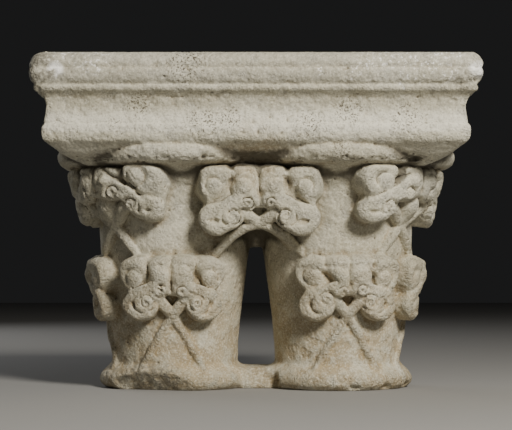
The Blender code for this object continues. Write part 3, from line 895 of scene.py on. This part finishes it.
def main_piece(vertices, quads):
    """The largest connected piece of a surface, without the small closed voids inside the stone."""
    label = np.arange(len(vertices))
    while True:
        a, b = label[quads[:, :3]].ravel(), label[quads[:, 1:]].ravel()
        apart = a != b
        if not apart.any():
            break
        label[np.maximum(a, b)[apart]] = np.minimum(a, b)[apart]
        while (label != label[label]).any():
            label = label[label]
    kept = label == np.bincount(label).argmax()
    number = np.cumsum(kept) - 1
    return vertices[kept], number[quads[kept[quads[:, 0]]]]


def make_stone(field):
    """The carved stone as one mesh object, thinned to the number of triangles kept."""
    vertices, quads = main_piece(*surface_net(field))
    mesh = bpy.data.meshes.new("carved_stone")
    mesh.vertices.add(len(vertices))
    mesh.vertices.foreach_set("co", (vertices * MM).astype(np.float32).ravel())
    mesh.loops.add(4 * len(quads))
    mesh.loops.foreach_set("vertex_index", quads.ravel().astype(np.int32))
    mesh.polygons.add(len(quads))
    mesh.polygons.foreach_set("loop_start", np.arange(0, 4 * len(quads), 4, dtype=np.int32))
    mesh.update(calc_edges=True)
    mesh.validate()
    stone = bpy.data.objects.new("carved_stone", mesh)
    bpy.context.scene.collection.objects.link(stone)
    fewer = stone.modifiers.new("fewer faces", "DECIMATE")
    fewer.ratio = min(1.0, KEPT_TRIANGLES / (2 * len(quads)))
    thinned = bpy.data.meshes.new_from_object(stone.evaluated_get(bpy.context.evaluated_depsgraph_get()))
    stone.modifiers.clear()
    stone.data = thinned
    bpy.data.meshes.remove(mesh)
    thinned.shade_smooth()
    places = np.empty(3 * len(thinned.vertices), np.float32)
    thinned.vertices.foreach_get("co", places)
    places = places.reshape(-1, 3) / MM
    origin = np.array([field.x[0], field.y[0], field.z[0]])
    cells = np.rint((places - origin) / GRID_STEP).astype(np.int32)
    cells = np.clip(cells, 0, np.array(field.d.shape) - 1)
    for name, reach in (("fine_bend", 2.0), ("broad_bend", 7.0), ("deep_bend", 16.0)):
        steps = max(1, round(reach / GRID_STEP))
        bend = bend_at(field.d, cells, steps) / (steps * GRID_STEP)
        layer = thinned.attributes.new(name, "FLOAT", "POINT")
        layer.data.foreach_set("value", bend.astype(np.float32))
    return stone


class Nodes:
    """Builds a material's nodes and links them."""

    def __init__(self, name):
        self.material = bpy.data.materials.new(name)
        self.material.use_nodes = True
        self.tree = self.material.node_tree
        self.shader = self.tree.nodes["Principled BSDF"]

    def make(self, kind, inputs, output=0, **settings):
        """One output of a node with these settings and inputs, which may be sockets or constants."""
        node = self.tree.nodes.new(kind)
        for key, value in settings.items():
            setattr(node, key, value)
        for key, value in inputs.items():
            self.feed(node.inputs[key], value)
        return node.outputs[output]

    def feed(self, socket, value):
        """Links a socket into an input, or sets the input's constant."""
        if isinstance(value, bpy.types.NodeSocket):
            self.tree.links.new(value, socket)
        else:
            socket.default_value = value

    def sum(self, operation, a, b=0.0, clamp=False):
        """One sum of two values."""
        return self.make("ShaderNodeMath", {0: a, 1: b}, operation=operation, use_clamp=clamp)

    def ramp(self, value, low, high):
        """0 at low, 1 at high, smooth between."""
        ends = {"Value": value, "From Min": low, "From Max": high}
        return self.make("ShaderNodeMapRange", ends, interpolation_type="SMOOTHSTEP")

    def times(self, a, b, clamp=False):
        """One value times another."""
        return self.sum("MULTIPLY", a, b, clamp)

    def tint(self, colour, amount, share, over):
        """A colour covered by another, up to that share of the amount."""
        return self.mix(self.times(amount, share), colour, over)

    def attribute(self, name):
        """A value stored with the mesh's vertices."""
        return self.make("ShaderNodeAttribute", {}, output=2, attribute_name=name)

    def mix(self, share, a, b):
        """Mix of two colours."""
        node = self.tree.nodes.new("ShaderNodeMix")
        node.data_type = "RGBA"
        self.feed(node.inputs[0], share)
        self.feed(node.inputs[6], a)
        self.feed(node.inputs[7], b)
        return node.outputs[2]

    def noise(self, place, scale, detail=3.0, roughness=0.55):
        """A noise texture's value."""
        return self.make(
            "ShaderNodeTexNoise",
            {"Vector": place, "Scale": scale, "Detail": detail, "Roughness": roughness})

    def near(self, place, centre, radius, soft):
        """1 within the radius of a point, 0 beyond it, soft between, all in millimetres."""
        inputs = {0: place, 1: [c * MM for c in centre]}
        gap = self.make("ShaderNodeVectorMath", inputs, output=1, operation="DISTANCE")
        return self.ramp(gap, (radius + soft) * MM, radius * MM)


# The colours of the stone and of what lies on it, and the dark of the shade painted into its deep hollows
CREAM = (0.49, 0.462, 0.358, 1.0)
PALE = (0.59, 0.565, 0.46, 1.0)
GREY = (0.385, 0.373, 0.323, 1.0)
HONEY = (0.39, 0.31, 0.185, 1.0)
SHADE = (0.215, 0.19, 0.14, 1.0)
LIGHT = (0.74, 0.715, 0.61, 1.0)
SOOT = (0.075, 0.062, 0.045, 1.0)
DIRT = (0.20, 0.185, 0.15, 1.0)
BARE = (0.93, 0.92, 0.88, 1.0)
# the dark of the painted shade in the deep hollows
PAINTED_SHADE = (0.085, 0.075, 0.055, 1.0)
# How much painted shade darkens the deepest sheltered hollows, and what share of that the others have
PAINTED_SHADE_SHARE = 0.88
PAINTED_SHADE_ELSEWHERE = 0.25
# Where the stone is bruised white or flecked, and where it is dark with dirt: point, radius, softness
BRUISES = [((-184.5, -128, 298.5), 4.5, 5), ((203.5, -124, 299), 6, 5)]
FLECKS = [
    ((112, -128, 306), 10, 14), ((145, -128, 307), 12, 14), ((176, -128, 307), 12, 12),
    ((90, -128, 295), 4, 8), ((60, -128, 297), 2, 7), ((134, -127, 284), 2, 6), ((-150, -128, 310), 8, 14),
    ((-178, -128, 311), 8, 12),
]
DIRTY = [
    ((-198, -122, 301), 12, 10), ((190, -126, 288), 4, 12), ((-108, -62, 10), 12, 16),
    ((-88, -62, 10), 10, 12),
]
# Where fine dark pits cluster
PITTED = [
    ((-50, -113, 250), 8, 14), ((-26, -113, 254), 6, 12), ((-65, -125, 304), 10, 16),
    ((49, -113, 249), 6, 14), ((85, -113, 262), 6, 14), ((140, -113, 256), 8, 12), ((80, -112, 226), 5, 8),
    ((-130, -113, 250), 3, 8), ((-110, -113, 267), 6, 12),
]


def make_marble():
    """Weathered off-white marble: cream and grey, honey low down, with dark pits and painted shade in the deep
    hollows.
    """
    nodes = Nodes("weathered_marble")
    place = nodes.make("ShaderNodeTexCoord", {}, output=3)
    fine_bend, broad_bend, deep_bend = map(nodes.attribute, ("fine_bend", "broad_bend", "deep_bend"))
    parts = nodes.tree.nodes.new("ShaderNodeSeparateXYZ")
    nodes.feed(parts.inputs[0], place)
    height = parts.outputs[2]
    clouds = nodes.noise(place, 17.0, 4.0, 0.6)
    blots = nodes.noise(place, 70.0, 5.0, 0.62)
    speckle = nodes.noise(place, 290.0, 4.0, 0.68)
    grain = nodes.noise(place, 560.0, 2.0, 0.6)
    # the stone's own colours: cream, pale and grey clouds and a greyer top
    colour = nodes.mix(nodes.ramp(clouds, 0.40, 0.62), CREAM, PALE)
    colour = nodes.tint(colour, nodes.ramp(blots, 0.50, 0.68), 0.55, GREY)
    colour = nodes.tint(colour, nodes.ramp(height, 0.284, 0.290), 0.38, GREY)
    # painted highlight: a paler band over the roll and the hollow under the fascia, where they face up to the
    # light
    painted_highlight_band = nodes.times(nodes.ramp(height, 0.240, 0.2445), nodes.ramp(height, 0.268, 0.254))
    colour = nodes.tint(colour, painted_highlight_band, 0.80, LIGHT)
    # honey low down, in the hollows and above the middle leaf
    warm = nodes.times(nodes.ramp(height, 0.190, 0.020), 0.85)
    warm = nodes.sum("ADD", warm, nodes.times(nodes.ramp(broad_bend, 0.02, -0.22), 0.50))
    vee = nodes.near(place, (0, -95, 222), 12, 35)
    warm = nodes.sum("ADD", warm, nodes.times(vee, 0.7))
    warm = nodes.times(warm, nodes.ramp(blots, 0.30, 0.62), clamp=True)
    colour = nodes.mix(warm, colour, HONEY)
    # the grain
    colour = nodes.tint(colour, nodes.ramp(speckle, 0.54, 0.70), 0.42, SHADE)
    colour = nodes.tint(colour, nodes.ramp(grain, 0.54, 0.68), 0.42, SHADE)
    colour = nodes.tint(colour, nodes.ramp(grain, 0.46, 0.34), 0.45, LIGHT)
    # painted shade in deep hollows, most of all under the lips and in the recess between the bells, where
    # shadow falls
    under_lip = nodes.times(nodes.ramp(height, 0.188, 0.206), nodes.ramp(height, 0.240, 0.230))
    recess = nodes.near(place, (0, -30, 150), 22, 22)
    shade_places = nodes.sum("MAXIMUM", nodes.sum("MAXIMUM", under_lip, recess), PAINTED_SHADE_ELSEWHERE)
    # the share of painted shade at each spot
    deep = nodes.times(nodes.ramp(deep_bend, -0.01, -0.18), shade_places)
    colour = nodes.tint(colour, deep, PAINTED_SHADE_SHARE, PAINTED_SHADE)
    # dark pits and pale edges
    colour = nodes.tint(colour, nodes.ramp(fine_bend, -0.12, -0.40), 0.60, SOOT)
    colour = nodes.tint(colour, nodes.ramp(fine_bend, 0.10, 0.40), 0.35, LIGHT)
    for spots, texture, threshold, over, share in (
            (PITTED, grain, (0.54, 0.62), SOOT, 0.85), (DIRTY, speckle, (0.42, 0.58), DIRT, 0.75),
            (FLECKS, speckle, (0.44, 0.36), BARE, 0.9), (BRUISES, blots, (0.62, 0.50), BARE, 1.0)):
        mask = nodes.ramp(texture, *threshold)
        region = 0.0
        for point, radius, soft in spots:
            region = nodes.sum("MAXIMUM", nodes.near(place, point, radius, soft), region)
        colour = nodes.tint(colour, nodes.times(region, mask), share, over)
    nodes.feed(nodes.shader.inputs["Base Color"], colour)
    nodes.shader.inputs["Roughness"].default_value = 0.84
    nodes.shader.inputs["Specular IOR Level"].default_value = 0.28
    # the finest roughness, stronger on the crumbling edges
    crumbling = nodes.ramp(broad_bend, 0.02, 0.20)
    relief = nodes.times(nodes.ramp(blots, 0.60, 0.42), 0.6)
    for texture, plain, more in ((speckle, 0.40, 1.6), (grain, 0.75, 1.2)):
        strength = nodes.sum("ADD", plain, nodes.times(crumbling, more))
        relief = nodes.sum("ADD", relief, nodes.times(nodes.sum("SUBTRACT", texture, 0.5), strength))
    bump = nodes.make("ShaderNodeBump", {"Strength": 0.9, "Distance": 0.0016, "Height": relief})
    nodes.feed(nodes.shader.inputs["Normal"], bump)
    return nodes.material


FLOOR_COLOUR = (0.28, 0.277, 0.27, 1.0)


def make_floor():
    """A plain pale floor."""
    bpy.ops.mesh.primitive_plane_add(size=12.0, location=(0, 0, 0))
    floor = bpy.context.object
    floor.name = "floor"
    pale = Nodes("pale_floor")
    pale.shader.inputs["Base Color"].default_value = FLOOR_COLOUR
    pale.shader.inputs["Roughness"].default_value = 0.9
    floor.data.materials.append(pale.material)


def make_light(name, place, target, size, power, colour):
    """A soft square light aimed at a point."""
    lamp = bpy.data.lights.new(name, "AREA")
    lamp.shape = "SQUARE"
    lamp.size = size
    lamp.energy = power
    lamp.color = colour
    light = bpy.data.objects.new(name, lamp)
    light.location = place
    light.rotation_euler = (Vector(target) - Vector(place)).to_track_quat("-Z", "Y").to_euler()
    bpy.context.scene.collection.objects.link(light)


def make_lights():
    """A soft key from the upper right, a faint fill, a light from behind and a dim plain surround."""
    target = (0.0, 0.0, 0.17)
    make_light("key", (0.72, -1.37, 1.08), target, 0.40, 45.0, (1.0, 0.95, 0.855))
    make_light("fill", (-1.6, -1.6, 0.6), target, 1.5, 0.8, (0.95, 0.97, 1.0))
    make_light("rim", (-1.2, 1.4, 1.0), target, 1.2, 10.0, (1.0, 1.0, 1.0))
    world = bpy.data.worlds.new("studio")
    world.use_nodes = True
    world.node_tree.nodes["Background"].inputs["Color"].default_value = (0.80, 0.81, 0.82, 1.0)
    world.node_tree.nodes["Background"].inputs["Strength"].default_value = 0.016
    bpy.context.scene.world = world


def make_camera():
    """The photograph's view: 1.5 m in front, at the height of the lower leaves, a long lens."""
    lens = bpy.data.cameras.new("camera")
    lens.sensor_width = SENSOR_WIDTH
    lens.lens = CAMERA_DISTANCE / MM * SENSOR_WIDTH / IMAGE_WIDTH
    camera = bpy.data.objects.new("camera", lens)
    camera.location = (0.0, -CAMERA_DISTANCE, CAMERA_HEIGHT)
    aim = Vector((0.0, 0.0, AIM_HEIGHT)) - camera.location
    camera.rotation_euler = aim.to_track_quat("-Z", "Y").to_euler()
    bpy.context.scene.collection.objects.link(camera)
    bpy.context.scene.camera = camera


def main():
    """Makes the stone, its surroundings and the camera."""
    field = Field()
    rough = Noise(5)
    add_base(field)
    add_leaves(field)
    cut_losses(field, rough)
    weather(field, rough)
    stone = make_stone(field)
    stone.data.materials.append(make_marble())
    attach(stone, "root")
    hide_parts(NODE)
    make_floor()
    make_lights()
    make_camera()


main()
